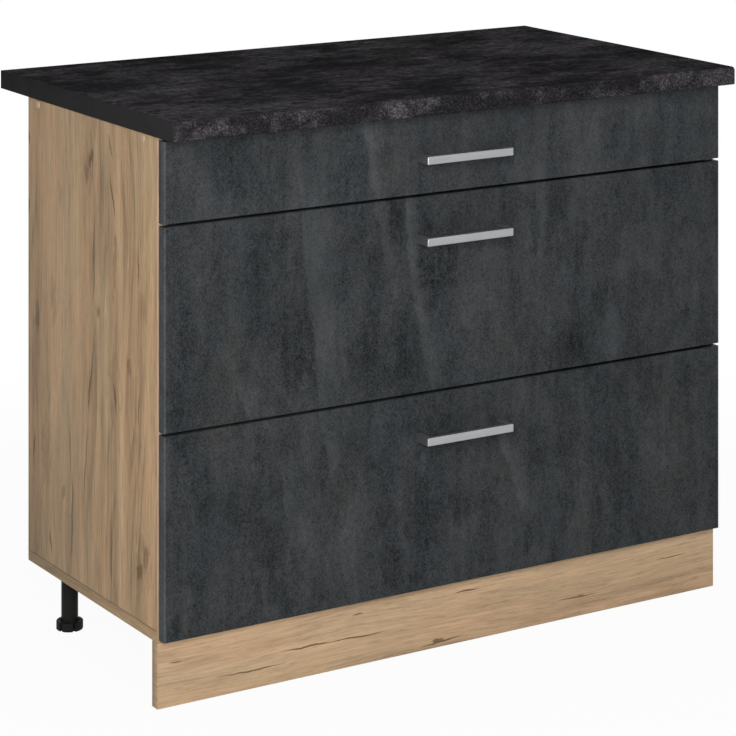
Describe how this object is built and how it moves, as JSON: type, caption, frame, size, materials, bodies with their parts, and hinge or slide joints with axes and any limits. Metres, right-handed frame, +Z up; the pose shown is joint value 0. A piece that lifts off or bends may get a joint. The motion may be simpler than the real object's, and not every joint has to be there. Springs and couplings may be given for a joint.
{
  "type": "kitchen base cabinet with drawers",
  "caption": "Kitchen base cabinet with wide drawers on roller runners, a dark worktop, oak-look sides, bow handles, adjustable feet and a clipped plinth.",
  "frame": {"origin": "on the floor, in the middle of the worktop's width and depth", "axes": "+X to the right seen from the front, +Y to the back, +Z up; the drawers open towards -Y"},
  "size_m": [1.004, 0.58, 0.838],
  "materials": {
    "oak_board": "oak-look melamine on chipboard, matt with a fine grain",
    "oak_edge_band": "pale oak-look edge band, satin",
    "oak_plinth": "oak-look melamine, grain along the length, matt",
    "hardboard": "raw brown hardboard outside, white inside",
    "oak_cap": "moulded plastic in the oak's colour",
    "worktop_laminate": "near-black laminate with faint lighter streaks, satin",
    "worktop_strip": "plain dark grey strip, matt",
    "zinc_screw": "zinc plated",
    "black_plastic": "black moulded polypropylene",
    "zinc_runner": "galvanised sheet",
    "nylon_roller": "natural nylon",
    "coated_steel": "light grey powder coat",
    "drawer_board": "light grey melamine on chipboard",
    "front_film": "dark slate concrete-look film on fibreboard, matt",
    "handle_metal": "brushed, with bevelled edges"
  },
  "bodies": {
    "carcass": {"side_panel_left": "oak_board", "side_panel_right": "oak_board", "bottom_panel": "oak_board", "top_rail_front": "oak_board", "top_rail_rear": "oak_board", "carcass_edge_bands": "oak_edge_band", "plinth": "oak_plinth", "back_panel": "hardboard", "screw_caps": "oak_cap", "worktop": "worktop_laminate", "worktop_end_strip_left": "worktop_strip", "worktop_end_strip_right": "worktop_strip", "carcass_screws": "zinc_screw", "plinth_clips": "black_plastic", "leg_sockets": "black_plastic", "leg_stems": "black_plastic", "bottom_runner_left": "zinc_runner", "bottom_runner_right": "zinc_runner", "middle_runner_left": "zinc_runner", "middle_runner_right": "zinc_runner", "top_runner_left": "zinc_runner", "top_runner_right": "zinc_runner"},
    "bottom_drawer": {"bottom_handle_bolts": "zinc_screw", "bottom_drawer_wall_left": "coated_steel", "bottom_drawer_wall_right": "coated_steel", "bottom_drawer_base": "drawer_board", "bottom_drawer_back": "drawer_board", "bottom_drawer_front": "front_film", "bottom_drawer_handle": "handle_metal", "bottom_gallery_rails": "coated_steel"},
    "bottom_drawer_rollers": {"bottom_drawer_rollers": "nylon_roller"},
    "bottom_runner_rollers": {"bottom_runner_rollers": "nylon_roller"},
    "middle_drawer": {"middle_handle_bolts": "zinc_screw", "middle_drawer_wall_left": "coated_steel", "middle_drawer_wall_right": "coated_steel", "middle_drawer_base": "drawer_board", "middle_drawer_back": "drawer_board", "middle_drawer_front": "front_film", "middle_drawer_handle": "handle_metal", "middle_gallery_rails": "coated_steel"},
    "middle_drawer_rollers": {"middle_drawer_rollers": "nylon_roller"},
    "middle_runner_rollers": {"middle_runner_rollers": "nylon_roller"},
    "top_drawer": {"top_handle_bolts": "zinc_screw", "top_drawer_wall_left": "coated_steel", "top_drawer_wall_right": "coated_steel", "top_drawer_base": "drawer_board", "top_drawer_back": "drawer_board", "top_drawer_front": "front_film", "top_drawer_handle": "handle_metal"},
    "top_drawer_rollers": {"top_drawer_rollers": "nylon_roller"},
    "top_runner_rollers": {"top_runner_rollers": "nylon_roller"},
    "foot_front_left": {"foot_front_left": "black_plastic"},
    "foot_front_right": {"foot_front_right": "black_plastic"},
    "foot_rear_left": {"foot_rear_left": "black_plastic"},
    "foot_rear_right": {"foot_rear_right": "black_plastic"}
  },
  "joints": [
    {"name": "bottom_drawer_slide", "type": "slide", "parent": "carcass", "child": "bottom_drawer", "axis": [0, -1, 0], "range_m": [0, 0.3]},
    {"name": "bottom_drawer_rollers_turn", "type": "hinge", "parent": "bottom_drawer", "child": "bottom_drawer_rollers", "pos_m": [0, 0.149, 0.1245], "axis": [1, 0, 0], "range_deg": [0, 1570]},
    {"name": "bottom_runner_rollers_turn", "type": "hinge", "parent": "carcass", "child": "bottom_runner_rollers", "pos_m": [0, -0.224, 0.1269], "axis": [1, 0, 0], "range_deg": [0, 1570]},
    {"name": "middle_drawer_slide", "type": "slide", "parent": "carcass", "child": "middle_drawer", "axis": [0, -1, 0], "range_m": [0, 0.3]},
    {"name": "middle_drawer_rollers_turn", "type": "hinge", "parent": "middle_drawer", "child": "middle_drawer_rollers", "pos_m": [0, 0.149, 0.4195], "axis": [1, 0, 0], "range_deg": [0, 1570]},
    {"name": "middle_runner_rollers_turn", "type": "hinge", "parent": "carcass", "child": "middle_runner_rollers", "pos_m": [0, -0.224, 0.4219], "axis": [1, 0, 0], "range_deg": [0, 1570]},
    {"name": "top_drawer_slide", "type": "slide", "parent": "carcass", "child": "top_drawer", "axis": [0, -1, 0], "range_m": [0, 0.3]},
    {"name": "top_drawer_rollers_turn", "type": "hinge", "parent": "top_drawer", "child": "top_drawer_rollers", "pos_m": [0, 0.149, 0.7145], "axis": [1, 0, 0], "range_deg": [0, 1570]},
    {"name": "top_runner_rollers_turn", "type": "hinge", "parent": "carcass", "child": "top_runner_rollers", "pos_m": [0, -0.224, 0.7169], "axis": [1, 0, 0], "range_deg": [0, 1570]},
    {"name": "foot_front_left_screw", "type": "slide", "parent": "carcass", "child": "foot_front_left", "axis": [0, 0, -1], "range_m": [0, 0.02]},
    {"name": "foot_front_right_screw", "type": "slide", "parent": "carcass", "child": "foot_front_right", "axis": [0, 0, -1], "range_m": [0, 0.02]},
    {"name": "foot_rear_left_screw", "type": "slide", "parent": "carcass", "child": "foot_rear_left", "axis": [0, 0, -1], "range_m": [0, 0.02]},
    {"name": "foot_rear_right_screw", "type": "slide", "parent": "carcass", "child": "foot_rear_right", "axis": [0, 0, -1], "range_m": [0, 0.02]}
  ],
  "couplings": [
    {"joint": "bottom_drawer_rollers_turn", "follows": "bottom_drawer_slide", "rad_per_m": 90.909},
    {"joint": "bottom_runner_rollers_turn", "follows": "bottom_drawer_slide", "rad_per_m": 90.909},
    {"joint": "middle_drawer_rollers_turn", "follows": "middle_drawer_slide", "rad_per_m": 90.909},
    {"joint": "middle_runner_rollers_turn", "follows": "middle_drawer_slide", "rad_per_m": 90.909},
    {"joint": "top_drawer_rollers_turn", "follows": "top_drawer_slide", "rad_per_m": 90.909},
    {"joint": "top_runner_rollers_turn", "follows": "top_drawer_slide", "rad_per_m": 90.909}
  ]
}
